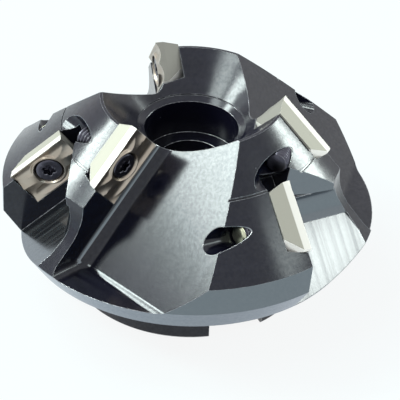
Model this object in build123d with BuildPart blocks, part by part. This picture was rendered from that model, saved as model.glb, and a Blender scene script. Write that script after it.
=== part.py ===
from build123d import *
import os
from math import cos, radians, sin, sqrt, tan

os.makedirs("parts", exist_ok=True)

# The tool stands on its drive face at z = 0 with the spindle axis on +Z and the cutting end up.
# Seen from above it turns counter-clockwise. Lengths are in mm and angles in degrees.

# Turned body
outer_radius = 40.0
body_height = 45.0
nose_radius = 19.4
nose_land = 0.6
back_face_height = 12.3
back_rim_radius = 36.3
band_bottom = 18.15
hub_radius = 25.4
hub_chamfer = 0.6
mark_groove_radius = 27.4
mark_groove_width = 0.5
mark_groove_depth = 0.3

# Arbor seat and clamping screw seat
bore_radius = 13.5
bore_depth = 22.0
bore_chamfer = 1.0
clearance_hole_radius = 6.75
screw_seat_height = 29.0
screw_seat_radius = 10.0
dish_ring_radius = 11.4
dish_depth = 7.05
dish_ring_step = 0.3
dish_chamfer_height = 0.8
key_slot_width = 12.4
key_slot_depth = 7.0
key_slot_fillet = 0.8
key_slot_azimuth = -64.0

# Indexable inserts
lobe_count = 3
insert_length = 15.0
insert_width = 9.0
insert_thickness = 5.0
insert_shear = 0.6
edge_land_height = 1.1
edge_land_relief = 0.08
side_relief = 0.85
end_relief = 1.3
corner_flat = 0.3
corner_chamfer = 2.3

# Chip former pressed into each rake face
chip_groove_offset = 0.3
chip_groove_width = 2.6
chip_groove_depth = 0.6
corner_scoop_radius = 2.4
corner_scoop_depth = 0.9
corner_scoop_reach = 4.6
corner_scoop_turn = 38.0
screw_boss_radius = 3.5
screw_boss_flare = 0.5

# Where the cutting edges stand
edge_height = 1.2
edge_dip = 3.2
inner_edge_radius = 24.6
inner_edge_azimuth = -8.0
inner_edge_lag = 9.3
outer_edge_radius = 33.4
outer_edge_azimuth = -46.8
outer_edge_lag = 11.1

# Insert screws
screw_radius = 2.4
screw_length = 13.0
screw_head_radius = 2.8
screw_head_sink = 0.25
screw_head_rim = 0.4
screw_head_chamfer = 0.25
screw_gap = 0.15
countersink_angle = 60.0
socket_core_radius = 1.05
socket_lobe_radius = 0.45
socket_lobe_count = 6
socket_depth = 1.6
screw_tip_chamfer = 0.5
inner_hole_depth = 22.0
outer_hole_depth = 26.0

# Insert pockets
pocket_gap = 0.06
pocket_open_end = 3.2
pocket_front = 2.0
pocket_corner_radius = 1.0
rake_wall_setback = 0.25

# Large gullets ahead of the inner inserts
large_gullet_azimuth = -14.1
large_gullet_distance = 32.1
large_gullet_height = 17.55
large_gullet_slope = 45.5
large_gullet_wall_fillet = 3.0
large_gullet_fillet = 2.4

# Small gullets ahead of the outer inserts
small_gullet_azimuth = -63.4
small_gullet_distance = 22.95
small_gullet_slope = 43.9
small_gullet_round = 8.4
small_gullet_round_height = 27.9
small_gullet_floor_overrun = 2.4
small_gullet_crease_height = 30.3
small_gullet_wall_azimuth = -70.1
small_gullet_wall_distance = 21.15
small_gullet_wall_tilt = -6.1
small_gullet_side_azimuth = -134.5
small_gullet_side_tilt = -13.5
small_gullet_side_setback = 0.15

# Shelf between a small gullet and the next large one
shelf_azimuth = -16.1
shelf_distance = 32.1
shelf_height = 26.8
shelf_slope = 47.2
shelf_fillet = 11.0

reach = 3 * outer_radius
cone_sum = nose_radius + body_height
lobe_angle = 360 / lobe_count
band_top = cone_sum - outer_radius


def at(radius, azimuth, height):
    """Point given by its distance from the axis, its direction and its height."""
    return Vector(radius * cos(radians(azimuth)), radius * sin(radians(azimuth)), height)


def facing(point, azimuth, tilt):
    """Plane through a point whose normal looks outward at an azimuth and up by a tilt."""
    normal = at(cos(radians(tilt)), azimuth, sin(radians(tilt)))
    return Plane(origin=point, z_dir=normal)


def insert_seat(radius, azimuth, lag):
    """Plane of an insert's rake face, centred on its screw, from the middle of its cutting edge.

    The x axis runs out along the edge, y down the rake face into the body and z off the face,
    the way the tool turns. The lag turns the outer end of the edge back, and the dip leans the
    rake face back.
    """
    outward = at(1, azimuth, 0)
    around = at(1, azimuth + 90, 0)
    down_cone = (outward - Vector(0, 0, 1)) * sqrt(0.5)
    along = down_cone * cos(radians(lag)) - around * sin(radians(lag))
    off_face = (around - along * around.dot(along)).normalized()
    into_body = off_face.cross(along)
    rake = off_face * cos(radians(edge_dip)) - into_body * sin(radians(edge_dip))
    down_face = rake.cross(along)
    edge_middle = at(radius, azimuth, cone_sum - radius + edge_height * sqrt(2))
    middle = edge_middle + down_face * (insert_width / 2) + along * (insert_shear / 2)
    return Plane(origin=middle, x_dir=along, z_dir=rake)


def shared_edge(part, first, second):
    """Straight edge of a part that lies in two of its planes."""
    on_both = [
        edge
        for edge in part.edges().filter_by(GeomType.LINE)
        if all(abs(plane.to_local_coords(edge.position_at(end)).Z) < 0.001
               for plane in (first, second)
               for end in (0, 1))
    ]
    return on_both[0]


def step_section(distance, height, upper_slope, lower_slope):
    """Section outside a line that rises inward from a corner and one that falls outward from it."""
    inward = Vector(-cos(radians(upper_slope)), sin(radians(upper_slope)))
    outward = Vector(cos(radians(lower_slope)), -sin(radians(lower_slope)))
    corner = Vector(distance, height)
    with BuildSketch() as section:
        with BuildLine():
            Polyline(
                corner + inward * reach,
                corner,
                corner + outward * reach,
                corner + Vector(reach, reach),
                close=True,
            )
        make_face()
    return section.sketch


def milled_space(azimuth, section, walls):
    """Space with one section all along, level across an azimuth, on the side that its walls face."""
    across = Plane(origin=(0, 0, 0), x_dir=at(1, azimuth, 0), z_dir=at(1, azimuth - 90, 0))
    with BuildPart() as space:
        with BuildSketch(across):
            add(section)
        extrude(amount=reach, both=True)
        for wall in walls:
            split(bisect_by=wall, keep=Keep.TOP)
    return space.part


def large_gullet(seat):
    """Chip space ahead of an inner insert: a sloping facet, a level floor and the rake wall."""
    corner = at(large_gullet_distance, large_gullet_azimuth, large_gullet_height)
    facet = facing(corner, large_gullet_azimuth, 90 - large_gullet_slope)
    floor = Plane.XY.offset(large_gullet_height)
    wall = seat.offset(-rake_wall_setback)
    section = step_section(large_gullet_distance, large_gullet_height, large_gullet_slope, 0)
    space = milled_space(large_gullet_azimuth, section, [wall])
    space = space.fillet(large_gullet_wall_fillet, [shared_edge(space, facet, wall)])
    return space.fillet(large_gullet_fillet, [shared_edge(space, facet, floor)])


def small_gullet_walls(seat):
    """Rake wall of an outer insert, and the side wall across the small gullet from it."""
    shelf_corner = at(shelf_distance, shelf_azimuth, shelf_height)
    side_point = shelf_corner + at(small_gullet_side_setback, shelf_azimuth - 90, 0)
    side = facing(side_point, small_gullet_side_azimuth, small_gullet_side_tilt)
    return [seat.offset(-rake_wall_setback), side]


def small_gullet_foot(seat):
    """Chip space ahead of an outer insert: a wide round that runs into a floor falling to the rim."""
    down = Vector(cos(radians(small_gullet_slope)), -sin(radians(small_gullet_slope)))
    off_floor = Vector(-down.Y, down.X)
    middle = Vector(small_gullet_distance + small_gullet_round, small_gullet_round_height)
    crease_rise = small_gullet_crease_height - small_gullet_round_height
    crease_reach = sqrt(small_gullet_round**2 - crease_rise**2)
    crease = middle + Vector(-crease_reach, crease_rise)
    deepest = middle - Vector(small_gullet_round, 0)
    floor_end = middle - off_floor * small_gullet_round - down * small_gullet_floor_overrun
    step_rise = small_gullet_round - sqrt(small_gullet_round**2 - small_gullet_floor_overrun**2)
    step_top = floor_end + off_floor * step_rise
    with BuildSketch() as section:
        with BuildLine():
            ThreePointArc(crease, deepest, step_top)
            Polyline(
                step_top, floor_end, floor_end + down * reach, crease + Vector(reach, 0), crease
            )
        make_face()
    return milled_space(small_gullet_azimuth, section.sketch, small_gullet_walls(seat))


def small_gullet_top(seat):
    """The same chip space above the crease, where its end wall is flat and leans over a little."""
    wall_foot = at(small_gullet_wall_distance, small_gullet_wall_azimuth, small_gullet_crease_height)
    end_wall = facing(wall_foot, small_gullet_wall_azimuth, small_gullet_wall_tilt)
    section = step_section(0, small_gullet_crease_height, 90, 0)
    return milled_space(small_gullet_azimuth, section, [*small_gullet_walls(seat), end_wall])


def shelf(seat):
    """Step beside the next large gullet, with an upright wall and a large round at its foot."""
    corner = at(shelf_distance, shelf_azimuth, shelf_height)
    wall = facing(corner, shelf_azimuth, 0)
    floor = facing(corner, shelf_azimuth, 90 - shelf_slope)
    rake_wall = seat.offset(-rake_wall_setback)
    section = step_section(shelf_distance, shelf_height, 90, shelf_slope)
    space = milled_space(shelf_azimuth, section, [rake_wall])
    return space.fillet(shelf_fillet, [shared_edge(space, wall, floor)])


def insert_levels():
    """Depth below the rake face, side inset and corner size of each step of the insert's flanks."""
    return [
        (0, 0, 0, corner_flat),
        (edge_land_height, edge_land_relief, edge_land_relief, corner_flat + edge_land_relief),
        (insert_thickness, side_relief, end_relief, corner_chamfer),
    ]


def insert_outline(inset_side, inset_end, corner_size):
    """Leaning outline of an insert at one depth, with two opposite corners cut off."""
    half_width = insert_width / 2 - inset_side
    half_length = insert_length / 2 - inset_end
    lean = insert_shear / insert_width * half_width
    return [
        (-half_length - lean, -half_width),
        (half_length - lean - corner_size, -half_width),
        (half_length - lean, -half_width + corner_size),
        (half_length + lean, half_width),
        (-half_length + lean + corner_size, half_width),
        (-half_length + lean, half_width - corner_size),
    ]


def chip_former():
    """Troughs beside both long edges and scoops at two opposite corners, clear of the screw boss."""
    half_groove = chip_groove_width / 2
    groove_radius = (half_groove**2 + chip_groove_depth**2) / (2 * chip_groove_depth)
    groove_y = insert_width / 2 - chip_groove_offset - half_groove
    groove_middle = Plane(
        origin=(0, groove_y, groove_radius - chip_groove_depth), x_dir=(0, 1, 0), z_dir=(1, 0, 0)
    )
    corner = Vector((insert_length + insert_shear) / 2, insert_width / 2, -corner_scoop_depth)
    inward = at(-corner_scoop_reach, corner_scoop_turn, corner_scoop_depth).normalized()
    sideways = inward.cross(Vector(0, 0, 1)).normalized()
    upward = sideways.cross(inward)
    scoop_start = corner + upward * corner_scoop_radius - inward * corner_scoop_radius
    with BuildPart() as half:
        with BuildSketch(groove_middle):
            Circle(groove_radius)
        extrude(amount=insert_length, both=True)
        with BuildSketch(Plane(origin=scoop_start, x_dir=sideways, z_dir=inward)):
            Circle(corner_scoop_radius)
        extrude(amount=corner_scoop_reach + 2 * corner_scoop_radius)
    with BuildPart() as former:
        add(half.part)
        add(half.part, rotation=(0, 0, 180))
        with Locations((0, 0, -chip_groove_depth)):
            Cone(
                screw_boss_radius + screw_boss_flare,
                screw_boss_radius,
                chip_groove_depth,
                align=(Align.CENTER, Align.CENTER, Align.MIN),
                mode=Mode.SUBTRACT,
            )
    return former.part


def make_insert():
    """Insert with relieved flanks, a chip former and a countersunk hole, rake face at z = 0."""
    former = chip_former()
    cone_flare = (screw_head_sink + screw_head_rim) * tan(radians(countersink_angle / 2))
    with BuildPart() as insert:
        for depth, inset_side, inset_end, corner_size in insert_levels():
            with BuildSketch(Plane.XY.offset(-depth)):
                with BuildLine():
                    Polyline(*insert_outline(inset_side, inset_end, corner_size), close=True)
                make_face()
        loft(ruled=True)
        add(former, mode=Mode.SUBTRACT)
        CounterSinkHole(
            radius=screw_radius + screw_gap,
            counter_sink_radius=screw_head_radius + screw_gap + cone_flare,
            counter_sink_angle=countersink_angle,
        )
    return insert.part


def make_screw():
    """Countersunk insert screw with a six-lobed socket, pointing down from the rake face."""
    head_depth = (screw_head_radius - screw_radius) / tan(radians(countersink_angle / 2))
    head_top = -screw_head_sink
    rim_bottom = head_top - screw_head_rim
    with BuildPart() as screw:
        with BuildSketch(Plane.XZ):
            with BuildLine():
                Polyline(
                    (0, head_top),
                    (screw_head_radius - screw_head_chamfer, head_top),
                    (screw_head_radius, head_top - screw_head_chamfer),
                    (screw_head_radius, rim_bottom),
                    (screw_radius, rim_bottom - head_depth),
                    (screw_radius, screw_tip_chamfer - screw_length),
                    (screw_radius - screw_tip_chamfer, -screw_length),
                    (0, -screw_length),
                    close=True,
                )
            make_face()
        revolve(axis=Axis.Z)
        with BuildSketch(Plane.XY.offset(head_top)):
            Circle(socket_core_radius)
            with PolarLocations(socket_core_radius, socket_lobe_count):
                Circle(socket_lobe_radius)
        extrude(amount=-socket_depth, mode=Mode.SUBTRACT)
    return screw.part


def insert_pocket(seat, hole_depth):
    """Seat of one insert: floor, side and end walls, relief bore in the corner and tapped hole."""
    wall_lean = insert_shear / insert_width
    open_x = -insert_length / 2 - pocket_open_end
    open_y = -insert_width
    with BuildPart() as pocket:
        for depth, inset_side, inset_end, _ in insert_levels():
            wall_y = insert_width / 2 - inset_side + pocket_gap
            wall_x = insert_length / 2 - inset_end + pocket_gap
            with BuildSketch(seat.offset(-depth)):
                with BuildLine():
                    Polyline(
                        (open_x, open_y),
                        (wall_x + wall_lean * open_y, open_y),
                        (wall_x + wall_lean * wall_y, wall_y),
                        (open_x, wall_y),
                        close=True,
                    )
                make_face()
        loft(ruled=True)
        extrude(pocket.faces().sort_by(Axis(seat.origin, seat.z_dir))[-1], amount=pocket_front)
        corner_x = insert_length / 2 - end_relief + wall_lean * insert_width / 2
        corner_y = insert_width / 2 - side_relief
        with BuildSketch(seat.offset(-insert_thickness)):
            with Locations((corner_x, corner_y)):
                Circle(pocket_corner_radius)
        extrude(amount=insert_thickness + pocket_front)
        with BuildSketch(seat):
            Circle(screw_radius + screw_gap)
        extrude(amount=-hole_depth)
    return pocket.part


def every_lobe(part):
    """Copies of a part of the first lobe, one for each lobe."""
    return [Rot(0, 0, lobe_angle * lobe) * part for lobe in range(lobe_count)]


inner_seat = insert_seat(inner_edge_radius, inner_edge_azimuth, inner_edge_lag)
outer_seat = insert_seat(outer_edge_radius, outer_edge_azimuth, outer_edge_lag)
lobe_cuts = [
    large_gullet(inner_seat),
    small_gullet_foot(outer_seat),
    small_gullet_top(outer_seat),
    shelf(outer_seat),
    insert_pocket(inner_seat, inner_hole_depth),
    insert_pocket(outer_seat, outer_hole_depth),
]

dish_bottom = body_height - dish_depth
dish_step_bottom = dish_bottom - dish_ring_step
mark_groove_center = (mark_groove_radius, 0, cone_sum - mark_groove_radius)

with BuildPart() as cutter_body:
    with BuildSketch(Plane.XZ):
        with BuildLine():
            Polyline(
                (bore_radius + bore_chamfer, 0),
                (hub_radius - hub_chamfer, 0),
                (hub_radius, hub_chamfer),
                (hub_radius, back_face_height),
                (back_rim_radius, back_face_height),
                (outer_radius, band_bottom),
                (outer_radius, band_top),
                (nose_radius, body_height),
                (nose_radius - nose_land, body_height),
                (dish_ring_radius, dish_bottom),
                (dish_ring_radius, dish_step_bottom),
                (screw_seat_radius, dish_step_bottom - dish_chamfer_height),
                (screw_seat_radius, screw_seat_height),
                (clearance_hole_radius, screw_seat_height),
                (clearance_hole_radius, bore_depth),
                (bore_radius, bore_depth),
                (bore_radius, bore_chamfer),
                close=True,
            )
        make_face()
    revolve(axis=Axis.Z)
    with BuildSketch(Plane(origin=mark_groove_center, x_dir=(1, 0, -1), z_dir=(0, 1, 0))):
        Rectangle(mark_groove_width, 2 * mark_groove_depth)
    revolve(axis=Axis.Z, mode=Mode.SUBTRACT)
    slot_way = at(1, key_slot_azimuth, 0)
    with BuildSketch(Plane(origin=(0, 0, 0), x_dir=at(1, key_slot_azimuth + 90, 0), z_dir=slot_way)):
        slot_section = Rectangle(key_slot_width, 2 * key_slot_depth)
        fillet(slot_section.vertices(), key_slot_fillet)
    extrude(amount=2 * hub_radius, both=True, mode=Mode.SUBTRACT)
    for cut in lobe_cuts:
        for copy in every_lobe(cut):
            add(copy, mode=Mode.SUBTRACT)

cutter_body.part.label = "cutter_body"
export_step(cutter_body.part, "parts/cutter_body.step")

insert = make_insert()
screw = make_screw()
for row, seat in (("inner", inner_seat), ("outer", outer_seat)):
    for kind, piece in (("insert", insert), ("screw", screw)):
        for lobe, part in enumerate(every_lobe(seat.location * piece), 1):
            part.label = f"{kind}_{row}_{lobe}"
            export_step(part, f"parts/{part.label}.step")
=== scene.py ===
"""Dresses a shell chamfer mill and sets it on a lit white table.

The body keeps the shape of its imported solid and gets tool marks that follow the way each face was
cut. The inserts and their screws are surfaces worked out with numpy. Lengths are in metres, the
spindle axis is +Z and the drive face lies at z = 0.
"""

from math import cos, pi, radians, sin, sqrt, tan

import bpy
import numpy as np
from mathutils import Matrix, Quaternion, Vector


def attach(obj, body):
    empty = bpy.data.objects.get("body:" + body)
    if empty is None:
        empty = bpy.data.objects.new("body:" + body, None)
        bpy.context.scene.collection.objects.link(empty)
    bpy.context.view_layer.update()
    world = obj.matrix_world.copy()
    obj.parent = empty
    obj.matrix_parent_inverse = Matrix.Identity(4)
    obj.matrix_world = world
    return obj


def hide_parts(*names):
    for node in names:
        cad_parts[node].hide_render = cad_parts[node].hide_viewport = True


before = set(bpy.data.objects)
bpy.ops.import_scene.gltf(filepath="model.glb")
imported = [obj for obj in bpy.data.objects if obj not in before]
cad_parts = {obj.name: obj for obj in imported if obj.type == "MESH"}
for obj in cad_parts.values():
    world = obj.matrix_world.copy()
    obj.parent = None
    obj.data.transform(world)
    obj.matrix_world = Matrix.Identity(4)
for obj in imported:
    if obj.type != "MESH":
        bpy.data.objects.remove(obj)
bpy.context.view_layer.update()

bl_info = {
    "name": "Shell chamfer mill",
    "version": (1, 0, 0),
    "blender": (4, 5, 0),
    "location": "3D View > Sidebar > Shell mill",
    "description": "Dresses a shell chamfer mill and sets it on a lit white table",
    "category": "Object",
}

MM = 0.001
LOBES = 3
PHOTO_PIXELS = 400

# Rows of an insert's surface, up its screw hole, over its rake face and down its side to its seat
HOLE_ROWS = 8
SINK_ROWS = 6
RAKE_ROWS = 54
LAND_ROWS = 4
FLANK_ROWS = 14
SEAT_ROWS = 8
EDGE_ROW = HOLE_ROWS + SINK_ROWS + RAKE_ROWS - 1

# Points on each side of an insert's outline: a long side, a corner and an end, twice
SIDE_POINTS = (60, 8, 34, 60, 8, 34)

# Rows in these stretches keep clear of the corners at their ends, by shares of the stretch
SINK_SPAN = (0.15, 0.94)
FLANK_SPAN = (0.04, 1)
SEAT_SPAN = (0.02, 0.9)

# Screws: columns round the axis, rows in one pitch of the thread, flats at its crest and root as a
# share of a flank, and lobes of the socket
SCREW_COLUMNS = 72
PITCH_ROWS = 8
THREAD_FLAT = 0.15
SOCKET_LOBES = 6

# Half angle of the countersinks, and the bends above which an edge stays sharp
SINK_ANGLE = radians(30)
PIECE_SHARP = radians(28)
BODY_SHARP = radians(20)

# Points of the body nearer than this are one
WELD = 0.002 * MM

# Limits that sort the body's faces: how nearly one looks the way of a turned stretch or a gullet's
# floor, as a cosine, how far the normals of others rise, and how far those of level ones lean
TURNED_MATCH = 0.98
FLOOR_MATCH = 0.9998
UPRIGHT_RISE = 0.3
RIM_RISE = 0.4
END_RISE = 0.65
LEVEL_LEAN = 0.05

# Way across the marks of every level milled face
LEVEL_WAY = (0.94, 0.34, 0)

# Least length that anything is divided by
TINY = 1e-6

# Lamps stand at a distance from the point that they look at. Each row holds the name, that point,
# the distance, azimuth, elevation and roll in degrees, width, height and radiance.
BODY_MIDDLE = (0, 0, 0.03)
FIRST_GULLET = (0.03, -0.0172, 0.0186)
LAMPS = (
    ("Window, low pane", BODY_MIDDLE, 1, 167, 23.5, 0, 0.2, 0.14, 42),
    ("Window, long pane", BODY_MIDDLE, 1, 160, 49, -35, 0.42, 0.11, 28),
    ("Window, left pane", BODY_MIDDLE, 1, 130, 56, 0, 0.34, 0.11, 21),
    ("Window, near pane", BODY_MIDDLE, 1, 183, 40.3, 0, 0.24, 0.19, 28),
    ("Window, high pane", BODY_MIDDLE, 1, 165, 66, 0, 0.1, 0.2, 10),
    ("Window, far pane", BODY_MIDDLE, 1, 211, 52, 0, 0.36, 0.18, 12.5),
    ("Side lamp", BODY_MIDDLE, 1, 21, 18.5, 0, 0.28, 0.18, 26.5),
    ("Small lamp", FIRST_GULLET, 0.12, -28, 45, 0, 0.034, 0.02, 6),
)


def length(name, description, millimetres):
    """Length property with its default given in millimetres."""
    return bpy.props.FloatProperty(
        name=name,
        description=description,
        default=millimetres * MM,
        unit="LENGTH",
        subtype="DISTANCE",
        precision=5,
    )


def angle(name, description, degrees):
    """Angle property with its default given in degrees."""
    return bpy.props.FloatProperty(
        name=name,
        description=description,
        default=radians(degrees),
        unit="ROTATION",
        subtype="ANGLE",
    )


def share(name, description, value):
    """Plain number from zero to one."""
    return bpy.props.FloatProperty(
        name=name, description=description, default=value, min=0, max=1, subtype="FACTOR"
    )


def tint(name, description, red, green, blue):
    """Linear colour property."""
    return bpy.props.FloatVectorProperty(
        name=name, description=description, default=(red, green, blue, 1), size=4, subtype="COLOR"
    )


class BodySizes(bpy.types.PropertyGroup):
    """Turned outline of the body, used to tell turned faces from milled ones."""

    outer_radius: length("Outer radius", "Radius of the band round the rim", 40)
    height: length("Height", "Height of the body over the drive face", 45)
    nose_radius: length("Nose radius", "Radius where the cone meets the top land", 19.4)
    nose_land: length("Nose land", "Width of the flat land on top", 0.6)
    band_bottom: length("Band bottom", "Height of the lower edge of the rim band", 18.15)
    back_height: length("Back face height", "Height of the flat back face", 12.3)
    back_radius: length("Back rim radius", "Outer radius of the flat back face", 36.3)
    hub_radius: length("Hub radius", "Radius of the hub that seats on the arbor", 25.4)
    bore_radius: length("Bore radius", "Radius of the arbor bore", 13.5)
    bore_depth: length("Bore depth", "Depth of the arbor bore", 22)
    seat_height: length("Screw seat height", "Height of the clamping screw's seat", 29)
    seat_radius: length("Screw seat radius", "Radius of the clamping screw's recess", 10)
    ring_drop: length("Ring drop", "Fall from the foot of the dish to the recess", 1.1)
    dish_radius: length("Dish radius", "Radius at the foot of the dish", 11.4)
    dish_depth: length("Dish depth", "Depth of the dish below the top", 7.05)
    floor_azimuth: angle("Floor azimuth", "Direction that the first small gullet falls", -63.4)
    floor_slope: angle("Floor slope", "Slope of the small gullets' floors", 43.9)
    end_azimuth: angle("Gullet end azimuth", "Direction that the first small gullet's end faces", -66.5)
    end_spread: angle("Gullet end spread", "How far the faces of that end turn from it", 7)
    on_outline: length("Outline tolerance", "How near to the turned outline a face lies", 0.03)


class SeatSizes(bpy.types.PropertyGroup):
    """Where the two rows of inserts sit on the cone."""

    cone_sum: length("Cone sum", "Radius plus height of any point on the cone", 64.4)
    edge_height: length("Edge height", "How far the cutting edges stand off the cone", 1.2)
    edge_dip: angle("Edge dip", "How far the rake faces lean back", 3.2)
    inner_radius: length("Inner radius", "Middle of the inner cutting edges", 24.6)
    inner_azimuth: angle("Inner azimuth", "Direction of the first inner edge", -8.0)
    inner_lag: angle("Inner lag", "How far the inner edges are turned back", 9.3)
    outer_radius: length("Outer radius", "Middle of the outer cutting edges", 33.4)
    outer_azimuth: angle("Outer azimuth", "Direction of the first outer edge", -46.8)
    outer_lag: angle("Outer lag", "How far the outer edges are turned back", 11.1)


class InsertSizes(bpy.types.PropertyGroup):
    """One indexable insert."""

    long_side: length("Length", "Length along the cutting edge", 15)
    width: length("Width", "Width of the rake face", 9)
    thickness: length("Thickness", "Thickness at right angles to the rake face", 5)
    shear: length("Shear", "How far the ends lean over the width", 0.6)
    land_height: length("Land height", "Height of the ground land under the edges", 1.7)
    land_relief: length("Land relief", "Relief of the ground land", 0.1)
    side_relief: length("Side relief", "Relief of the long flanks at the seat", 0.85)
    end_relief: length("End relief", "Relief of the end flanks at the seat", 1.3)
    corner_flat: length("Corner flat", "Flat at the sharp corners", 0.3)
    corner_chamfer: length("Corner chamfer", "Size of the corner facet at the seat", 2.3)
    edge_round: length("Edge round", "Honing of every edge", 0.05)
    groove_offset: length("Groove offset", "Land between the edge and the chip groove", 0.3)
    groove_width: length("Groove width", "Width of the chip groove", 2.6)
    groove_depth: length("Groove depth", "Depth of the chip groove", 0.6)
    scoop_reach: length("Scoop reach", "How far the end scoops run in", 4.2)
    scoop_depth: length("Scoop depth", "Depth of the end scoops at the end", 0.7)
    ridge_lean: bpy.props.FloatProperty(
        name="Ridge lean", description="Sideways lean of the ridge between two scoops", default=0.15
    )
    boss_radius: length("Boss radius", "Radius of the flat ring round the screw", 3.5)
    boss_flare: length("Boss flare", "Width of the slope round that ring", 0.5)
    hole_radius: length("Hole radius", "Radius of the screw hole", 2.55)
    sink_radius: length("Countersink radius", "Radius of the countersink", 3.325)


class ScrewSizes(bpy.types.PropertyGroup):
    """One insert screw."""

    radius: length("Radius", "Outer radius of the thread", 2.4)
    long: length("Length", "Distance from the rake face to the tip", 13.2)
    bare_tip: length("Bare tip", "Length of the tip without blackening", 0.6)
    head_radius: length("Head radius", "Radius of the head", 2.8)
    head_sink: length("Head sink", "Depth of the head below the rake face", 0.25)
    head_rim: length("Head rim", "Height of the head's straight rim", 0.4)
    head_chamfer: length("Head chamfer", "Chamfer round the head", 0.25)
    tip_chamfer: length("Tip chamfer", "Chamfer at the tip", 0.5)
    neck_relief: length("Neck relief", "How far the neck lies inside the thread", 0.2)
    pitch: length("Pitch", "Pitch of the thread", 0.8)
    thread_depth: length("Thread depth", "Depth of the thread", 0.42)
    socket_core: length("Socket core", "Radius of the socket between its lobes", 1.05)
    socket_lobe: length("Socket lobe", "How far each lobe stands out", 0.45)
    socket_depth: length("Socket depth", "Depth of the socket", 1.6)


class Looks(bpy.types.PropertyGroup):
    """Colours and finishes."""

    steel: tint("Blackened steel", "Colour of the black oxide on the steel", 0.0045, 0.0045, 0.011)
    steel_gloss: tint("Steel gloss", "Tint of the black oxide's gloss", 0.86, 0.92, 1.0)
    # Light steel for rubbed oxide and handling specks, and for the painted highlights along edges
    rubbed_steel_and_edge_sheen: tint("Rubbed steel", "Where the blackening is rubbed through", 0.5, 0.52, 0.55)
    # Painted sheen: a lighter reflection colour on the outward rim bands and gullet ends, for the light
    # that they catch
    rim_painted_sheen: tint("Rim", "Reflection colour of the rim and gullet ends", 0.155, 0.18, 0.2)
    floor_steel: tint("Gullet floors", "Reflection colour of the small gullets' floors", 0.19, 0.195, 0.205)
    steel_rough: share("Steel roughness", "Roughness of the blackened steel", 0.15)
    steel_level: share("Steel gloss level", "Strength of the black oxide's gloss", 0.35)
    film_most: share("Oil film", "Weight of the oil film where it is thickest", 0.34)
    ground: tint("Ground flanks", "Colour of the inserts' ground flanks", 0.37, 0.37, 0.33)
    land: tint("Ground lands", "Colour of the lands under the cutting edges", 0.66, 0.66, 0.635)
    ends: tint("Ground ends", "Colour of the inserts' end flanks", 0.27, 0.27, 0.25)
    corners: tint("Corner facets", "Colour of the polished corner facets", 0.9, 0.9, 0.87)
    ground_rough: share("Ground roughness", "Roughness of the ground flanks", 0.7)
    rake: tint("Rake faces", "Colour of the inserts' pressed rake faces", 0.43, 0.385, 0.33)
    rake_stain: tint("Rake stain", "Warm stain in the chip grooves", 0.33, 0.27, 0.21)
    rake_rough: share("Rake roughness", "Roughness of the pressed rake faces", 0.33)
    # Painted highlight: near-white colour laid along the inserts' honed edges
    honed: tint("Honed edges", "Colour of the inserts' honed edges", 0.95, 0.94, 0.9)
    speck: tint("Specks", "Colour of the specks on the inserts", 0.12, 0.1, 0.09)
    screw: tint("Screw", "Colour of the black screws", 0.13, 0.13, 0.165)
    screw_tip: tint("Screw tip", "Bare end of each outer screw", 0.55, 0.575, 0.43)
    floor: tint("Floor", "Colour of the table", 0.3, 0.72, 0.82)
    floor_light: tint("Light floor", "Colour of the table's paler clouds", 0.4, 0.78, 0.86)
    # Width of the rubbed edge lines, which also carry painted highlights
    wear_and_sheen_width: length("Wear width", "Width of the rubbed lines along edges", 0.22)
    mark_spacing: length("Mark spacing", "Distance between tool marks", 0.22)


class Stage(bpy.types.PropertyGroup):
    """Table, camera and light."""

    camera_distance: length("Camera distance", "Level distance from camera to axis", 392.6)
    camera_height: length("Camera height", "Height of the camera over the table", 300.6)
    camera_pan: angle("Pan", "Turn of the camera to the right", 0.35)
    camera_tilt: angle("Tilt", "How far the camera looks down", 35.74)
    camera_roll: angle("Roll", "Roll of the camera", 2.19)
    focal_pixels: bpy.props.FloatProperty(
        name="Focal length", description="Focal length in pixels of the photograph", default=2239.9
    )
    table_half: length("Table", "From the middle of the table to its edge", 3000)
    table_drop: length("Table drop", "Gap that keeps the table clear of the drive face", 0.02)
    room: tint("Room", "Light that comes from the room", 0.32, 0.34, 0.36)
    lamp_tint: tint("Lamp", "Colour of the lamps", 0.92, 1.0, 0.93)


def grid_faces(rows, columns, wrap_rows):
    """Quads of a grid whose columns close on themselves, and whose rows may too."""
    last = rows if wrap_rows else rows - 1
    row, column = np.meshgrid(np.arange(last), np.arange(columns), indexing="ij")
    next_row = (row + 1) % rows
    next_column = (column + 1) % columns
    corners = [
        row * columns + column,
        row * columns + next_column,
        next_row * columns + next_column,
        next_row * columns + column,
    ]
    return np.stack(corners, axis=-1).reshape(-1, 4)


def fan_faces(row, columns, centre):
    """Triangles from one row of a grid to a centre point."""
    column = np.arange(columns)
    start = row * columns
    middle = np.full(columns, centre)
    return np.stack([start + column, start + (column + 1) % columns, middle], axis=-1)


def make_mesh(name, points, faces):
    """Mesh from points and lists of faces, turned so that its signed volume is positive."""
    volume = 0
    for group in faces:
        first = points[group[:, 0]]
        for corner in range(1, group.shape[1] - 1):
            second, third = points[group[:, corner]], points[group[:, corner + 1]]
            volume += np.einsum("ij,ij->", first, np.cross(second, third))
    if volume < 0:
        faces = [group[:, ::-1] for group in faces]
    mesh = bpy.data.meshes.new(name)
    mesh.from_pydata(points.tolist(), [], [face for group in faces for face in group.tolist()])
    mesh.shade_smooth()
    mesh.set_sharp_from_angle(angle=PIECE_SHARP)
    return mesh


def read_faces(mesh, key):
    """Normals or centres of a mesh's faces, one row for each face."""
    values = np.empty(len(mesh.polygons) * 3)
    mesh.polygons.foreach_get(key, values)
    return values.reshape(-1, 3)


def read_triangles(mesh):
    """Points of a mesh of triangles, and the numbers of each triangle's three points."""
    points = np.empty(len(mesh.vertices) * 3)
    mesh.vertices.foreach_get("co", points)
    corners = np.empty(len(mesh.loops), int)
    mesh.loops.foreach_get("vertex_index", corners)
    return points.reshape(-1, 3), corners.reshape(-1, 3)


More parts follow.
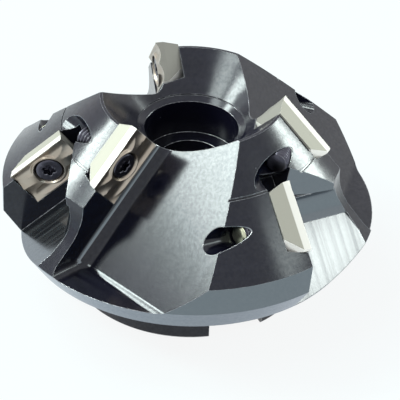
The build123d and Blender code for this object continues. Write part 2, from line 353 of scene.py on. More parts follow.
def store(mesh, name, values, domain="FACE"):
    """Keeps a number or a vector for each face or point, under the name that a material reads."""
    kind, key = ("FLOAT_VECTOR", "vector") if values.ndim == 2 else ("FLOAT", "value")
    mesh.attributes.new(name, kind, domain).data.foreach_set(key, values.astype(float).ravel())


def add_piece(name, mesh, material, node):
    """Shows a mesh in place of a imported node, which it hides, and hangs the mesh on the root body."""
    piece = bpy.data.objects.new(name, mesh)
    bpy.context.scene.collection.objects.link(piece)
    mesh.materials.clear()
    mesh.materials.append(material)
    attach(piece, "root")
    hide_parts(node)
    return piece


def smooth(values, start, end):
    """Rises smoothly from 0 at start to 1 at end."""
    share_done = np.clip((values - start) / (end - start), 0, 1)
    return share_done * share_done * (3 - 2 * share_done)


def seat_axes(radius, azimuth, lag, sizes, insert):
    """Origin and axes of an insert's rake face, centred on its screw.

    The axes run out along the cutting edge, down the rake face into the body and off the face. The
    origin lies half a width down the face from the middle of the edge, which stands off the cone.
    """
    outward = np.array([cos(azimuth), sin(azimuth), 0])
    around = np.array([-sin(azimuth), cos(azimuth), 0])
    up = np.array([0, 0, 1.0])
    along = (outward - up) * sqrt(0.5) * cos(lag) - around * sin(lag)
    off_face = around - along * (around @ along)
    off_face /= np.linalg.norm(off_face)
    into_body = np.cross(off_face, along)
    rake = off_face * cos(sizes.edge_dip) - into_body * sin(sizes.edge_dip)
    down_face = np.cross(rake, along)
    edge_middle = outward * radius + up * (sizes.cone_sum - radius + sizes.edge_height * sqrt(2))
    middle = edge_middle + down_face * insert.width / 2 + along * insert.shear / 2
    return middle, np.array([along, down_face, rake])


def every_seat(scene):
    """Row name, lobe number, origin and axes of all six seats."""
    sizes, insert = scene.mill_seats, scene.mill_insert
    rows = {
        "inner": (sizes.inner_radius, sizes.inner_azimuth, sizes.inner_lag),
        "outer": (sizes.outer_radius, sizes.outer_azimuth, sizes.outer_lag),
    }
    seats = []
    for row, (radius, azimuth, lag) in rows.items():
        for lobe in range(LOBES):
            turned = azimuth + 2 * pi * lobe / LOBES
            seats.append((row, lobe + 1, *seat_axes(radius, turned, lag, sizes, insert)))
    return seats


def outline(insert, inset_side, inset_end, corner):
    """Leaning outline of an insert as a closed row of points, corner to corner.

    Six straight sides: two long ones, two ends and two cut corners. Each is divided evenly, and the
    same number of points goes into a side at every depth.
    """
    half_width = insert.width / 2 - inset_side
    half_long = insert.long_side / 2 - inset_end
    lean = insert.shear / insert.width * half_width
    corners = np.array([
        (-half_long - lean, -half_width),
        (half_long - lean - corner, -half_width),
        (half_long - lean, -half_width + corner),
        (half_long + lean, half_width),
        (-half_long + lean + corner, half_width),
        (-half_long + lean, half_width - corner),
    ])
    sides = []
    for start, end, count in zip(corners, np.roll(corners, -1, axis=0), SIDE_POINTS):
        step = np.linspace(0, 1, count, endpoint=False)[:, None]
        sides.append(start + (end - start) * step)
    return np.concatenate(sides)


def chip_relief(insert, x, y):
    """Depth of the pressed chip former under the rake face.

    A round-bottomed groove runs beside both long edges. Two round scoops lie side by side at each
    end, deeper towards the end, with a ridge between them that points at the screw. A flat ring
    round the screw stands clear of them all.
    """
    half_groove = insert.groove_width / 2
    middle = insert.width / 2 - insert.groove_offset - half_groove
    across = (np.abs(y) - middle) / half_groove
    groove = insert.groove_depth * np.clip(1 - across**2, 0, None)
    half_long = insert.long_side / 2
    ridge = insert.ridge_lean * (half_long - np.abs(x)) * np.sign(x)
    half_scoop = insert.width / 4
    off = (np.abs(y - ridge) - half_scoop) / half_scoop
    scoop = insert.scoop_depth * np.clip(1 - off**2, 0, None)
    scoop = scoop * smooth(np.abs(x), half_long - insert.scoop_reach, half_long)
    from_screw = np.hypot(x, y)
    clear = smooth(from_screw, insert.boss_radius, insert.boss_radius + insert.boss_flare)
    return np.maximum(groove, scoop) * clear


def at_depth(points, depth):
    """Points of a plane with their depth under the rake face as a third coordinate."""
    depth = np.broadcast_to(depth, points.shape[:-1])
    return np.concatenate([points, -depth[..., None]], axis=-1)


def insert_surface(insert):
    """Closed surface of an insert: rows of the outline carried round its section.

    The section goes up the hole and its countersink, out over the rake face, round the honed edge,
    down the land and the flank and back in under the seat. Between the hole and the outline a point
    moves in a straight line from the ring to the rim. The edge dips with the chip former, and the
    foot of the land is straight.
    """
    hone = insert.edge_round
    deep = insert.thickness
    flare = insert.sink_radius - insert.hole_radius
    sink_depth = flare / tan(SINK_ANGLE)
    rim = outline(insert, hone, hone, insert.corner_flat)
    turn = np.arctan2(rim[:, 1], rim[:, 0])
    ring = np.stack([np.cos(turn), np.sin(turn)], axis=-1)
    hole = at_depth(
        np.broadcast_to(ring * insert.hole_radius, (HOLE_ROWS, *ring.shape)),
        np.linspace(deep, sink_depth, HOLE_ROWS)[:, None],
    )
    step = np.linspace(*SINK_SPAN, SINK_ROWS)[:, None]
    sink = at_depth(ring * (insert.hole_radius + flare * step[..., None]), sink_depth * (1 - step))
    step = np.linspace(0, 1, RAKE_ROWS)[:, None, None]
    face = ring * insert.sink_radius * (1 - step) + rim * step
    rake = at_depth(face, chip_relief(insert, face[..., 0], face[..., 1]))
    edge_depth = chip_relief(insert, rim[:, 0], rim[:, 1])
    land = insert.corner_flat + insert.land_relief
    # Depth, inset, corner cut and the share of the edge's dip that each row follows
    levels = (
        (0.35 * hone, 0.3 * hone, insert.corner_flat, 1),
        (hone, 0, insert.corner_flat, 1),
        (0.5 * insert.land_height, 0.5 * insert.land_relief, land, 0.5),
        (insert.land_height, insert.land_relief, land, 0),
    )
    rows = [*hole, *sink, *rake]
    for depth, inset, corner, follow in levels:
        rows.append(at_depth(outline(insert, inset, inset, corner), depth + follow * edge_depth))
    for step in np.linspace(*FLANK_SPAN, FLANK_ROWS):
        inset_side = insert.land_relief + (insert.side_relief - insert.land_relief) * step
        inset_end = insert.land_relief + (insert.end_relief - insert.land_relief) * step
        corner = land + (insert.corner_chamfer - land) * step
        depth = insert.land_height + (deep - insert.land_height) * step
        rows.append(at_depth(outline(insert, inset_side, inset_end, corner), depth))
    foot = rows[-1][:, :2]
    step = np.linspace(*SEAT_SPAN, SEAT_ROWS)[:, None, None]
    seat = at_depth(foot * (1 - step) + ring * insert.hole_radius * step, deep)
    return np.array([*rows, *seat])


def insert_finishes(rows):
    """How each face of an insert's surface was finished, as masks by name.

    Faces are counted along the rows. Everything from the honed edge on is ground. The lands, the
    ends and the corner facets are parts of that.
    """
    row = np.arange(rows)[:, None]
    side = np.repeat(np.arange(len(SIDE_POINTS)), SIDE_POINTS)[None, :]
    ground = (row >= EDGE_ROW) & (side >= 0)
    end = side % 3 == 2
    masks = {
        "ground": ground,
        "lands": ground & (row < EDGE_ROW + LAND_ROWS) & ~end,
        "ends": ground & end,
        "corners": ground & (side % 3 == 1),
    }
    return {name: mask.ravel() for name, mask in masks.items()}


def rings(turn, radius, height):
    """Rows of rings round the axis, from radii and heights that may change with the turn too."""
    shape = np.broadcast_shapes(np.shape(radius), np.shape(height), (1, turn.size))
    radius = np.broadcast_to(radius, shape)
    return np.stack([radius * np.cos(turn), radius * np.sin(turn), np.broadcast_to(height, shape)], -1)


def screw_surface(screw):
    """Rows of rings from the tip to the middle of the socket, and the two pole points.

    The shank is a helix: its radius falls by a triangle wave of the height over the pitch less the
    turn, cut off flat at crest and root. The socket's radius swells by a broadened raised cosine.
    """
    turn = np.linspace(0, 2 * pi, SCREW_COLUMNS, endpoint=False)
    head_top = -screw.head_sink
    rim_bottom = head_top - screw.head_rim
    neck = rim_bottom - (screw.head_radius - screw.radius) / tan(SINK_ANGLE)
    neck_radius = screw.radius - screw.neck_relief
    tip = -screw.long
    thread_end = neck - 0.6 * MM
    heights = np.arange(tip + 0.1 * MM, thread_end, screw.pitch / PITCH_ROWS)[:, None]
    phase = (heights / screw.pitch - turn / (2 * pi)) % 1
    flank = np.clip(np.abs(2 * phase - 1) * (1 + 2 * THREAD_FLAT) - THREAD_FLAT, 0, 1)
    taper = np.clip((heights - tip) / screw.tip_chamfer, 0, 1)
    cone = screw.radius - screw.tip_chamfer * (1 - taper)
    thread = np.minimum(screw.radius - screw.thread_depth * flank, cone)
    bend = np.linspace(0.25, 1, 4)[:, None] * pi / 2
    chamfer_radius = screw.head_radius - screw.head_chamfer * (1 - np.cos(bend))
    chamfer_height = head_top - screw.head_chamfer * (1 - np.sin(bend))
    lobes = screw.socket_core + screw.socket_lobe * (0.5 + 0.5 * np.cos(SOCKET_LOBES * turn)) ** 0.8
    sections = (
        (screw.radius - screw.tip_chamfer - screw.thread_depth * 0.6, tip),
        (thread, heights),
        (neck_radius, neck - 0.35 * MM),
        (neck_radius, neck - 0.1 * MM),
        (screw.radius, neck),
        (screw.head_radius, rim_bottom),
        (screw.head_radius, head_top - screw.head_chamfer),
        (chamfer_radius, chamfer_height),
        (lobes * 0.6 + screw.head_radius * 0.34, head_top),
        (lobes + 0.12 * MM, head_top),
        (lobes, head_top - 0.1 * MM),
        (lobes, head_top - screw.socket_depth * 0.6),
        (lobes * 0.97, head_top - screw.socket_depth),
    )
    rows = np.concatenate([rings(turn, radius, height) for radius, height in sections])
    poles = np.array([[0, 0, tip], [0, 0, head_top - screw.socket_depth * 1.12]])
    return rows, poles


def turned_outline(body):
    """Corners of the turned section as radius and height, from the hub's foot round to the bore."""
    dish_foot = body.height - body.dish_depth
    return np.array([
        (body.bore_radius, 0),
        (body.hub_radius, 0),
        (body.hub_radius, body.back_height),
        (body.back_radius, body.back_height),
        (body.outer_radius, body.band_bottom),
        (body.outer_radius, body.nose_radius + body.height - body.outer_radius),
        (body.nose_radius, body.height),
        (body.nose_radius - body.nose_land, body.height),
        (body.dish_radius, dish_foot),
        (body.seat_radius, dish_foot - body.ring_drop),
        (body.seat_radius, body.seat_height),
        (body.bore_radius / 2, body.seat_height),
        (body.bore_radius / 2, body.bore_depth),
        (body.bore_radius, body.bore_depth),
        (body.bore_radius, 0),
    ])


def mark_ways(mesh, body):
    """Way across the tool marks of each face, and whether the face was turned.

    A face is turned if all its corners lie on the turned outline and it faces the way that stretch
    of the outline does. Its way runs along the outline. A milled face that slopes has marks running
    down the slope, an upright one has level marks, and all the level ones have marks alike.
    """
    points, triangles = read_triangles(mesh)
    corners = points[triangles]
    normals = read_faces(mesh, "normal")
    middle = corners.mean(axis=1)
    azimuth = np.arctan2(middle[:, 1], middle[:, 0])
    facing = np.stack([
        normals[:, 0] * np.cos(azimuth) + normals[:, 1] * np.sin(azimuth), normals[:, 2]
    ], axis=-1)
    flat = np.stack([np.hypot(corners[..., 0], corners[..., 1]), corners[..., 2]], axis=-1)
    ends = turned_outline(body)
    way = np.zeros_like(normals)
    turned = np.zeros(len(normals), bool)
    for start, end in zip(ends[:-1], ends[1:]):
        along = (end - start) / np.linalg.norm(end - start)
        across = np.array([along[1], -along[0]])
        off = np.abs((flat - start) @ across).max(axis=1)
        found = (off < body.on_outline) & (np.abs(facing @ across) > TURNED_MATCH)
        way[found] = (along[0], 0, along[1])
        turned |= found
    up = np.array([0, 0, 1.0])
    level = np.cross(up, normals)
    size = np.linalg.norm(level, axis=1, keepdims=True)
    level = level / np.maximum(size, TINY)
    level[np.abs(normals[:, 2]) < UPRIGHT_RISE] = up
    level[size[:, 0] < LEVEL_LEAN] = LEVEL_WAY
    way[~turned] = level[~turned]
    return way, turned


def gullet_floors(mesh, body):
    """Which faces look the way the floor of a small gullet does, in any lobe."""
    azimuths = body.floor_azimuth + 2 * pi * np.arange(LOBES) / LOBES
    flat, rise = sin(body.floor_slope), cos(body.floor_slope)
    ways = np.stack([flat * np.cos(azimuths), flat * np.sin(azimuths), np.full(LOBES, rise)])
    return (read_faces(mesh, "normal") @ ways).max(axis=1) > FLOOR_MATCH


def painted_sheen_faces(mesh, body, turned):
    """Which faces are the rim's turned bands, or look out the way the small gullets' ends do: the faces
    that take a painted sheen.
    """
    normals, middles = read_faces(mesh, "normal"), read_faces(mesh, "center")
    rim = turned & (normals[:, 2] < RIM_RISE) & (middles[:, 2] > body.back_height + 0.1 * MM)
    rim &= np.hypot(middles[:, 0], middles[:, 1]) > body.hub_radius
    across = np.maximum(np.hypot(normals[:, 0], normals[:, 1]), TINY)
    azimuths = body.end_azimuth + 2 * pi * np.arange(LOBES) / LOBES
    ways = np.stack([np.cos(azimuths), np.sin(azimuths)])
    near = (normals[:, :2] @ ways / across[:, None]).max(axis=1) > cos(body.end_spread)
    ends = ~turned & near & (np.abs(normals[:, 2]) < END_RISE)
    return rim | ends


def merged_copy(node, name):
    """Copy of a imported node's mesh with its loose triangles joined and its edges kept sharp.

    Points that round to the same step of the weld become one, and a triangle that loses a corner by
    that is left out.
    """
    points, triangles = read_triangles(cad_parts[node].data)
    steps = np.round(points / WELD).astype(np.int64)
    _, first, index = np.unique(steps, axis=0, return_index=True, return_inverse=True)
    faces = index.reshape(-1)[triangles]
    whole = np.all(faces != np.roll(faces, 1, axis=1), axis=1)
    joined = bpy.data.meshes.new(name)
    joined.from_pydata(points[first].tolist(), [], faces[whole].tolist())
    joined.shade_smooth()
    joined.set_sharp_from_angle(angle=BODY_SHARP)
    return joined


def add_node(tree, kind, inputs=None, **settings):
    """Adds a shader node, sets its properties and sets or links its inputs by name or place."""
    made = tree.nodes.new("ShaderNode" + kind)
    for key, value in settings.items():
        setattr(made, key, value)
    for key, value in (inputs or {}).items():
        if isinstance(value, bpy.types.NodeSocket):
            tree.links.new(value, made.inputs[key])
        else:
            made.inputs[key].default_value = value
    return made


def add_math(tree, operation, first, second=0.0, clamp=False):
    """Output of a Math node with two inputs."""
    made = add_node(tree, "Math", {0: first, 1: second}, operation=operation, use_clamp=clamp)
    return made.outputs[0]


def add_blend(tree, first, second, part):
    """Sum of one value's part and the rest of another."""
    return add_math(
        tree, "ADD", add_math(tree, "MULTIPLY", first, part), add_math(tree, "MULTIPLY", second, 1 - part)
    )


def add_range(tree, value, low, high, to_low=0.0, to_high=1.0):
    """Value moved from one range to another and kept inside it."""
    settings = {"Value": value, "From Min": low, "From Max": high, "To Min": to_low, "To Max": to_high}
    return add_node(tree, "MapRange", settings).outputs["Result"]


def add_mix(tree, factor, first, second):
    """Colour between two colours. They are a Mix node's inputs 6 and 7, and the result is output 2."""
    return add_node(tree, "Mix", {0: factor, 6: first, 7: second}, data_type="RGBA").outputs[2]


def add_noise(tree, scale, detail):
    """Noise over the place on the piece, which changes over about a metre divided by the scale."""
    place = add_node(tree, "TexCoord").outputs["Object"]
    return add_node(tree, "TexNoise", {"Vector": place, "Scale": scale, "Detail": detail}).outputs["Fac"]


def read_mask(tree, name):
    """Number that a piece stores for each face or point."""
    return add_node(tree, "Attribute", attribute_name=name).outputs["Fac"]


def start_group(name, inputs, outputs):
    """New shader node group with its sockets, its input sockets and its output sockets."""
    tree = bpy.data.node_groups.new(name, "ShaderNodeTree")
    for label, value in inputs.items():
        socket = tree.interface.new_socket(label, in_out="INPUT", socket_type="NodeSocketFloat")
        socket.default_value = value
    for label, kind in outputs.items():
        tree.interface.new_socket(label, in_out="OUTPUT", socket_type="NodeSocket" + kind)
    return tree, tree.nodes.new("NodeGroupInput").outputs, tree.nodes.new("NodeGroupOutput").inputs


def place_group(tree, name, **values):
    """Puts a node group into a material with its own values."""
    made = tree.nodes.new("ShaderNodeGroup")
    made.node_tree = bpy.data.node_groups[name]
    for key, value in values.items():
        made.inputs[key].default_value = value
    return made.outputs


def make_edge_wear_and_sheen():
    """Group: mask of the edges, where a rounded normal leaves the face's own, broken by noise. The mask
    marks rubbed edges and lays painted highlights along them.
    """
    tree, given, result = start_group(
        "Edge wear and sheen", {"Width": 0.0002, "Break": 900.0}, {"Mask": "Float", "Normal": "Vector"}
    )
    bevel = add_node(tree, "Bevel", {"Radius": given["Width"]}, samples=6)
    normal = add_node(tree, "NewGeometry").outputs["Normal"]
    same = add_node(tree, "VectorMath", {0: bevel.outputs[0], 1: normal}, operation="DOT_PRODUCT")
    leaving = add_math(tree, "SUBTRACT", 1.0, same.outputs["Value"])
    broken = add_range(tree, add_noise(tree, given["Break"], 2.0), 0.35, 0.62, 0.35, 1.0)
    mask = add_math(tree, "MULTIPLY", add_range(tree, leaving, 0.015, 0.14), broken)
    tree.links.new(mask, result["Mask"])
    tree.links.new(bevel.outputs[0], result["Normal"])


def make_tool_marks():
    """Group: height and shade of fine lines across the way stored on each face.

    On a milled face the lines follow the place measured along the way. On a turned one they follow
    the radius and the height measured along it, so they run round the spindle axis.
    """
    tree, given, result = start_group(
        "Tool marks", {"Spacing": 0.0002}, {"Height": "Float", "Shade": "Float"}
    )
    place = add_node(tree, "TexCoord").outputs["Object"]
    way = add_node(tree, "Attribute", attribute_name="mark_way").outputs["Vector"]
    turned = read_mask(tree, "mark_turned")
    parts = add_node(tree, "SeparateXYZ", {0: place}).outputs
    level = add_node(tree, "CombineXYZ", {"X": parts["X"], "Y": parts["Y"]}).outputs[0]
    radius = add_node(tree, "VectorMath", {0: level}, operation="LENGTH").outputs["Value"]
    section = add_node(tree, "CombineXYZ", {"X": radius, "Z": parts["Z"]}).outputs[0]
    straight = add_node(tree, "VectorMath", {0: place, 1: way}, operation="DOT_PRODUCT")
    round_about = add_node(tree, "VectorMath", {0: section, 1: way}, operation="DOT_PRODUCT")
    swap = add_math(tree, "SUBTRACT", round_about.outputs["Value"], straight.outputs["Value"])
    swap = add_math(tree, "MULTIPLY", swap, turned)
    along = add_math(tree, "ADD", straight.outputs["Value"], swap)
    lines = add_math(tree, "DIVIDE", along, given["Spacing"])
    fine = add_node(tree, "TexNoise", {"W": lines, "Scale": 1.0, "Detail": 2.0}, noise_dimensions="1D")
    wide_lines = add_math(tree, "MULTIPLY", lines, 0.11)
    wide = add_node(
        tree, "TexNoise", {"W": wide_lines, "Scale": 1.0, "Detail": 3.0}, noise_dimensions="1D"
    )
    height = add_blend(tree, fine.outputs["Fac"], wide.outputs["Fac"], 0.65)
    tree.links.new(height, result["Height"])
    tree.links.new(wide.outputs["Fac"], result["Shade"])


def make_specks():
    """Group: small scattered spots, such as dust and handling marks."""
    tree, given, result = start_group("Specks", {"Scale": 700.0, "Share": 0.1}, {"Mask": "Float"})
    place = add_node(tree, "TexCoord").outputs["Object"]
    cells = add_node(tree, "TexVoronoi", {"Vector": place, "Scale": given["Scale"]})
    spot = add_range(tree, cells.outputs["Distance"], 0.06, 0.13, 1.0, 0.0)
    pick = add_node(tree, "SeparateColor", {0: cells.outputs["Color"]}).outputs["Red"]
    chosen = add_math(tree, "LESS_THAN", pick, given["Share"])
    tree.links.new(add_math(tree, "MULTIPLY", spot, chosen), result["Mask"])


def make_mottle():
    """Group: soft cloudy change of a finish, coarse and fine."""
    tree, given, result = start_group("Mottle", {"Scale": 120.0}, {"Cloud": "Float", "Grain": "Float"})
    fine_scale = add_math(tree, "MULTIPLY", given["Scale"], 60.0)
    tree.links.new(add_noise(tree, given["Scale"], 3.0), result["Cloud"])
    tree.links.new(add_noise(tree, fine_scale, 2.0), result["Grain"])


def make_groups():
    """Builds each shared node group once."""
    for name, make in (
        ("Edge wear and sheen", make_edge_wear_and_sheen),
        ("Tool marks", make_tool_marks),
        ("Specks", make_specks),
        ("Mottle", make_mottle),
    ):
        if name not in bpy.data.node_groups:
            make()


def start_material(name):
    """New material with its node tree and its Principled shader."""
    make_groups()
    material = bpy.data.materials.new(name)
    material.use_nodes = True
    tree = material.node_tree
    return material, tree, tree.nodes["Principled BSDF"]


def dim(colour, part):
    """Colour with its red, green and blue multiplied by one number."""
    return tuple(part * value for value in colour[:3]) + (1,)


def add_surface_grain(tree, shader, strength, height, normal):
    """Gives the shader a bump of a hundredth of a millimetre over a rounded normal."""
    settings = {"Strength": strength, "Distance": 0.01 * MM, "Height": height, "Normal": normal}
    tree.links.new(add_node(tree, "Bump", settings).outputs[0], shader.inputs["Normal"])


def blackened_steel(looks):
    """Dark oxide over milled steel: tool marks, soft mottle, rubbed edges lightened with painted
    highlights, a painted sheen on the rim bands and gullet ends, and an uneven film of oil.
    """
    material, tree, shader = start_material("Blackened steel")
    edge_wear_and_sheen = place_group(tree, "Edge wear and sheen", Width=looks.wear_and_sheen_width, Break=1100.0)
    marks = place_group(tree, "Tool marks", Spacing=looks.mark_spacing)
    mottle = place_group(tree, "Mottle", Scale=90.0)
    film = place_group(tree, "Mottle", Scale=26.0)
    specks = place_group(tree, "Specks", Scale=900.0, Share=0.02)
    turned, floor, outer = [read_mask(tree, name) for name in ("mark_turned", "mark_floor", "painted_sheen_outer")]
    shade = add_blend(tree, marks["Shade"], mottle["Cloud"], 0.6)
    base = add_mix(tree, add_range(tree, shade, 0.3, 0.7), dim(looks.steel, 0.78), dim(looks.steel, 1.25))
    # Painted sheen: the outward rim bands and gullet ends take a lighter reflection colour for the light
    # that they catch
    base = add_mix(tree, outer, base, looks.rim_painted_sheen)
    streaks = add_range(tree, marks["Shade"], 0.3, 0.7, 0.8, 1.1)
    bare = add_math(tree, "MULTIPLY", floor, streaks, clamp=True)
    base = add_mix(tree, bare, base, looks.floor_steel)
    # Edges go to light steel: partly rubbed oxide, partly painted highlights; the specks are handling marks
    rubbed = add_math(tree, "MAXIMUM", edge_wear_and_sheen["Mask"], add_math(tree, "MULTIPLY", specks["Mask"], 0.3))
    tree.links.new(add_mix(tree, rubbed, base, looks.rubbed_steel_and_edge_sheen), shader.inputs["Base Color"])
    rough = add_range(tree, mottle["Grain"], 0.3, 0.7, looks.steel_rough - 0.02, looks.steel_rough + 0.02)
    for mask, more in ((edge_wear_and_sheen["Mask"], 0.1), (floor, 0.06), (turned, 0.05)):
        rough = add_math(tree, "ADD", rough, add_math(tree, "MULTIPLY", mask, more))
    tree.links.new(rough, shader.inputs["Roughness"])
    metal = add_math(tree, "MAXIMUM", add_math(tree, "MAXIMUM", outer, bare), rubbed)
    tree.links.new(metal, shader.inputs["Metallic"])
    patches = add_blend(tree, film["Grain"], shade, 0.75)
    oil = add_range(tree, patches, 0.36, 0.64, 0.1, looks.film_most)
    tree.links.new(oil, shader.inputs["Coat Weight"])
    shader.inputs["Coat Roughness"].default_value = looks.steel_rough
    shader.inputs["Specular Tint"].default_value = looks.steel_gloss
    shader.inputs["Specular IOR Level"].default_value = looks.steel_level
    strength = add_range(tree, turned, 0.0, 1.0, 0.06, 0.5)
    add_surface_grain(tree, shader, strength, marks["Height"], edge_wear_and_sheen["Normal"])
    return material


def polished_insert(looks):
    """Pressed and ground hard metal: stained rake face, ground sides, honed edges painted near white as
    highlights, and fine grain.
    """
    material, tree, shader = start_material("Polished insert")
    edge_wear_and_sheen = place_group(tree, "Edge wear and sheen", Width=0.08 * MM, Break=2500.0)
    mottle = place_group(tree, "Mottle", Scale=260.0)
    specks = place_group(tree, "Specks", Scale=1500.0, Share=0.08)
    stained = add_range(tree, mottle["Cloud"], 0.42, 0.72, 0.0, 0.7)
    base = add_mix(tree, stained, looks.rake, looks.rake_stain)
    ground = read_mask(tree, "ground")
    base = add_mix(tree, ground, base, looks.ground)
    for kind, colour in (("lands", looks.land), ("ends", looks.ends), ("corners", looks.corners)):
        base = add_mix(tree, read_mask(tree, kind), base, colour)
    # Painted highlight: the honed edges go near white
    base = add_mix(tree, add_math(tree, "MULTIPLY", edge_wear_and_sheen["Mask"], 0.7), base, looks.honed)
    tree.links.new(add_mix(tree, specks["Mask"], base, looks.speck), shader.inputs["Base Color"])
    step = looks.ground_rough - looks.rake_rough
    rough = add_math(tree, "ADD", add_math(tree, "MULTIPLY", ground, step), looks.rake_rough - 0.04)
    rough = add_math(tree, "ADD", rough, add_math(tree, "MULTIPLY", mottle["Grain"], 0.08))
    tree.links.new(rough, shader.inputs["Roughness"])
    shader.inputs["Metallic"].default_value = 1.0
    add_surface_grain(tree, shader, 0.25, mottle["Grain"], edge_wear_and_sheen["Normal"])
    return material


def black_screw(looks):
    """Black oxide on a small turned screw, its edges rubbed and lightened with painted highlights, with a
    bare tip where one is stored.
    """
    material, tree, shader = start_material("Black screw")
    edge_wear_and_sheen = place_group(tree, "Edge wear and sheen", Width=0.1 * MM, Break=2500.0)
    mottle = place_group(tree, "Mottle", Scale=400.0)
    cloud = add_range(tree, mottle["Cloud"], 0.35, 0.65)
    base = add_mix(tree, cloud, dim(looks.screw, 0.6), looks.screw)
    # Edges go to light steel: partly rubbed oxide, partly painted highlights
    base = add_mix(tree, add_math(tree, "MULTIPLY", edge_wear_and_sheen["Mask"], 0.6), base, looks.rubbed_steel_and_edge_sheen)
    base = add_mix(tree, read_mask(tree, "bare_tip"), base, looks.screw_tip)
    tree.links.new(base, shader.inputs["Base Color"])
    shader.inputs["Metallic"].default_value = 1.0
    tree.links.new(add_range(tree, mottle["Grain"], 0.3, 0.7, 0.2, 0.34), shader.inputs["Roughness"])
    add_surface_grain(tree, shader, 0.2, mottle["Grain"], edge_wear_and_sheen["Normal"])
    return material


def rays_that_see(tree):
    """One for camera, glossy and transmission rays, so that all three see the same white."""
    paths = add_node(tree, "LightPath").outputs
    seen = add_math(tree, "ADD", paths["Is Camera Ray"], paths["Is Glossy Ray"])
    return add_math(tree, "ADD", seen, paths["Is Transmission Ray"], clamp=True)


def table_top(looks):
    """Pale table, mostly white to the camera and to gloss, that keeps the mill's shadow.

    It is clear from below, so that the drive face can be looked at.
    """
    material, tree, shader = start_material("Table top")
    mottle = place_group(tree, "Mottle", Scale=12.0)
    tinted = add_mix(tree, add_range(tree, mottle["Cloud"], 0.3, 0.7), looks.floor, looks.floor_light)
    tree.links.new(tinted, shader.inputs["Base Color"])
    shader.inputs["Roughness"].default_value = 0.6
    glow = add_node(tree, "Emission", {"Color": (1, 1, 1, 1), "Strength": 1.0})
    seen = add_math(tree, "MULTIPLY", rays_that_see(tree), 0.9)
    top = add_node(tree, "MixShader", {0: seen, 1: shader.outputs[0], 2: glow.outputs[0]})
    below = add_node(tree, "NewGeometry").outputs["Backfacing"]
    clear = add_node(tree, "BsdfTransparent")
    mix = add_node(tree, "MixShader", {0: below, 1: top.outputs[0], 2: clear.outputs[0]})
    tree.links.new(mix.outputs[0], tree.nodes["Material Output"].inputs["Surface"])
    return material


def room_light(stage):
    """World: white to the camera and to gloss, a dim room to everything else."""
    world = bpy.data.worlds.new("Room")
    world.use_nodes = True
    tree = world.node_tree
    dim_room = tree.nodes["Background"]
    dim_room.inputs["Color"].default_value = stage.room
    white = add_node(tree, "Background", {"Color": (1, 1, 1, 1), "Strength": 1.0})
    mix = add_node(tree, "MixShader", {0: rays_that_see(tree), 1: dim_room.outputs[0], 2: white.outputs[0]})
    tree.links.new(mix.outputs[0], tree.nodes["World Output"].inputs["Surface"])
    bpy.context.scene.world = world


def add_lamp(name, focus, distance, azimuth, elevation, roll, width, height, radiance, colour):
    """Area lamp that looks at its focus. Its power is pi times its radiance times its area."""
    lamp = bpy.data.lights.new(name, "AREA")
    lamp.shape = "RECTANGLE"
    lamp.size = width
    lamp.size_y = height
    lamp.energy = radiance * pi * width * height
    lamp.color = colour[:3]
    holder = bpy.data.objects.new(name, lamp)
    azimuth, elevation = radians(azimuth), radians(elevation)
    towards = Vector((cos(elevation) * cos(azimuth), cos(elevation) * sin(azimuth), sin(elevation)))
    holder.rotation_mode = "QUATERNION"
    turn = Quaternion(towards, radians(roll))
    holder.rotation_quaternion = turn @ towards.to_track_quat("Z", "Y")
    holder.location = Vector(focus) + towards * distance
    bpy.context.scene.collection.objects.link(holder)


class MILL_OT_body(bpy.types.Operator):
    """Dresses the body in blackened steel with its tool marks"""

    bl_idname = "mill.body"
    bl_label = "Dress the body"

    def execute(self, context):
        body = context.scene.mill_body
        mesh = merged_copy("cutter_body", "body_shell")
        way, turned = mark_ways(mesh, body)
        store(mesh, "mark_way", way)
        store(mesh, "mark_turned", turned)
        store(mesh, "mark_floor", gullet_floors(mesh, body) & ~turned)
        # Outward faces that take a painted sheen
        store(mesh, "painted_sheen_outer", painted_sheen_faces(mesh, body, turned))
        steel = blackened_steel(context.scene.mill_looks)
        piece = add_piece("body_shell", mesh, steel, "cutter_body")
        weighted = piece.modifiers.new("Even shading", "WEIGHTED_NORMAL")
        weighted.keep_sharp = True
        weighted.weight = 80
        return {"FINISHED"}


class MILL_OT_inserts(bpy.types.Operator):
    """Makes the six indexable inserts"""

    bl_idname = "mill.inserts"
    bl_label = "Make the inserts"

    def execute(self, context):
        material = polished_insert(context.scene.mill_looks)
        surface = insert_surface(context.scene.mill_insert)
        rows, columns = surface.shape[:2]
        faces = [grid_faces(rows, columns, wrap_rows=True)]
        finishes = insert_finishes(rows)
        for row, lobe, origin, axes in every_seat(context.scene):
            name = f"insert_{row}_{lobe}"
            mesh = make_mesh(f"ground_{name}", surface.reshape(-1, 3) @ axes + origin, faces)
            for finish, mask in finishes.items():
                store(mesh, finish, mask)
            add_piece(f"ground_{name}", mesh, material, name)
        return {"FINISHED"}


class MILL_OT_screws(bpy.types.Operator):
    """Makes the six insert screws with their threads and sockets"""

    bl_idname = "mill.screws"
    bl_label = "Make the screws"

    def execute(self, context):
        material = black_screw(context.scene.mill_looks)
        surface, poles = screw_surface(context.scene.mill_screw)
        rows, columns = surface.shape[:2]
        local = np.concatenate([surface.reshape(-1, 3), poles])
        tip_height = poles[0, 2] + context.scene.mill_screw.bare_tip
        tip, socket = rows * columns, rows * columns + 1
        faces = [
            grid_faces(rows, columns, wrap_rows=False),
            fan_faces(0, columns, tip)[:, ::-1],
            fan_faces(rows - 1, columns, socket),
        ]
        for row, lobe, origin, axes in every_seat(context.scene):
            name = f"screw_{row}_{lobe}"
            mesh = make_mesh(f"threaded_{name}", local @ axes + origin, faces)
            store(mesh, "bare_tip", (local[:, 2] < tip_height) & (row == "outer"), "POINT")
            add_piece(f"threaded_{name}", mesh, material, name)
        return {"FINISHED"}


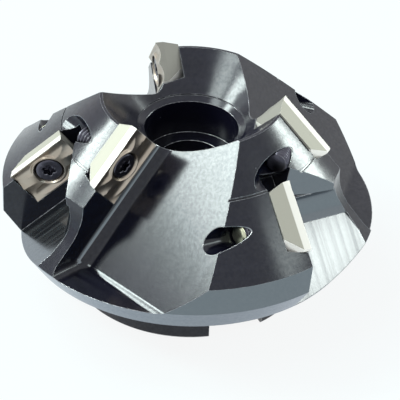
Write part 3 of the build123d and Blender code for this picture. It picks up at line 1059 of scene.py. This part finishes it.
class MILL_OT_stage(bpy.types.Operator):
    """Sets the table, the lamps and the camera"""

    bl_idname = "mill.stage"
    bl_label = "Set the stage"

    def execute(self, context):
        stage = context.scene.mill_stage
        context.scene.view_settings.view_transform = "Standard"
        half, low = stage.table_half, -stage.table_drop
        corners = [(-half, -half, low), (half, -half, low), (half, half, low), (-half, half, low)]
        mesh = bpy.data.meshes.new("table")
        mesh.from_pydata(corners, [], [(0, 1, 2, 3)])
        mesh.materials.append(table_top(context.scene.mill_looks))
        table = bpy.data.objects.new("table", mesh)
        context.scene.collection.objects.link(table)
        room_light(stage)
        for lamp in LAMPS:
            add_lamp(*lamp, stage.lamp_tint)
        self.set_camera(context, stage)
        return {"FINISHED"}

    def set_camera(self, context, stage):
        """Puts the camera at the photograph's viewpoint, with its pan, tilt, roll and lens."""
        pan, tilt, roll = stage.camera_pan, stage.camera_tilt, stage.camera_roll
        forward = Vector((sin(pan) * cos(tilt), cos(pan) * cos(tilt), -sin(tilt)))
        right = Vector((cos(pan), -sin(pan), 0))
        up = right.cross(forward)
        rolled_right = right * cos(roll) + up * sin(roll)
        rolled_up = up * cos(roll) - right * sin(roll)
        turn = Matrix((rolled_right, rolled_up, -forward)).transposed()
        camera = bpy.data.cameras.new("Camera")
        camera.sensor_width = 36
        camera.lens = stage.focal_pixels / PHOTO_PIXELS * camera.sensor_width
        camera.clip_start, camera.clip_end = 0.01, 20
        holder = bpy.data.objects.new("Camera", camera)
        place = Vector((0, -stage.camera_distance, stage.camera_height))
        holder.matrix_world = Matrix.Translation(place) @ turn.to_4x4()
        context.scene.collection.objects.link(holder)
        context.scene.camera = holder


class MILL_PT_sidebar(bpy.types.Panel):
    """Lists the steps and their sizes"""

    bl_label = "Shell chamfer mill"
    bl_space_type = "VIEW_3D"
    bl_region_type = "UI"
    bl_category = "Shell mill"

    def draw(self, context):
        for step in (MILL_OT_body, MILL_OT_inserts, MILL_OT_screws, MILL_OT_stage):
            self.layout.operator(step.bl_idname)
        for name in GROUPS:
            sizes = getattr(context.scene, name)
            for key in sizes.__annotations__:
                self.layout.prop(sizes, key)


GROUPS = {
    "mill_body": BodySizes,
    "mill_seats": SeatSizes,
    "mill_insert": InsertSizes,
    "mill_screw": ScrewSizes,
    "mill_looks": Looks,
    "mill_stage": Stage,
}
CLASSES = (
    *GROUPS.values(),
    MILL_OT_body,
    MILL_OT_inserts,
    MILL_OT_screws,
    MILL_OT_stage,
    MILL_PT_sidebar,
)


def register():
    """Registers the classes and hangs the sizes on the scene."""
    for entry in CLASSES:
        bpy.utils.register_class(entry)
    for name, group in GROUPS.items():
        setattr(bpy.types.Scene, name, bpy.props.PointerProperty(type=group))


def unregister():
    """Takes the sizes and the classes away again."""
    for name in GROUPS:
        delattr(bpy.types.Scene, name)
    for entry in reversed(CLASSES):
        bpy.utils.unregister_class(entry)


def main():
    """Builds the dressed mill on its stage."""
    register()
    bpy.ops.mill.body()
    bpy.ops.mill.inserts()
    bpy.ops.mill.screws()
    bpy.ops.mill.stage()


if __name__ == "__main__":
    main()
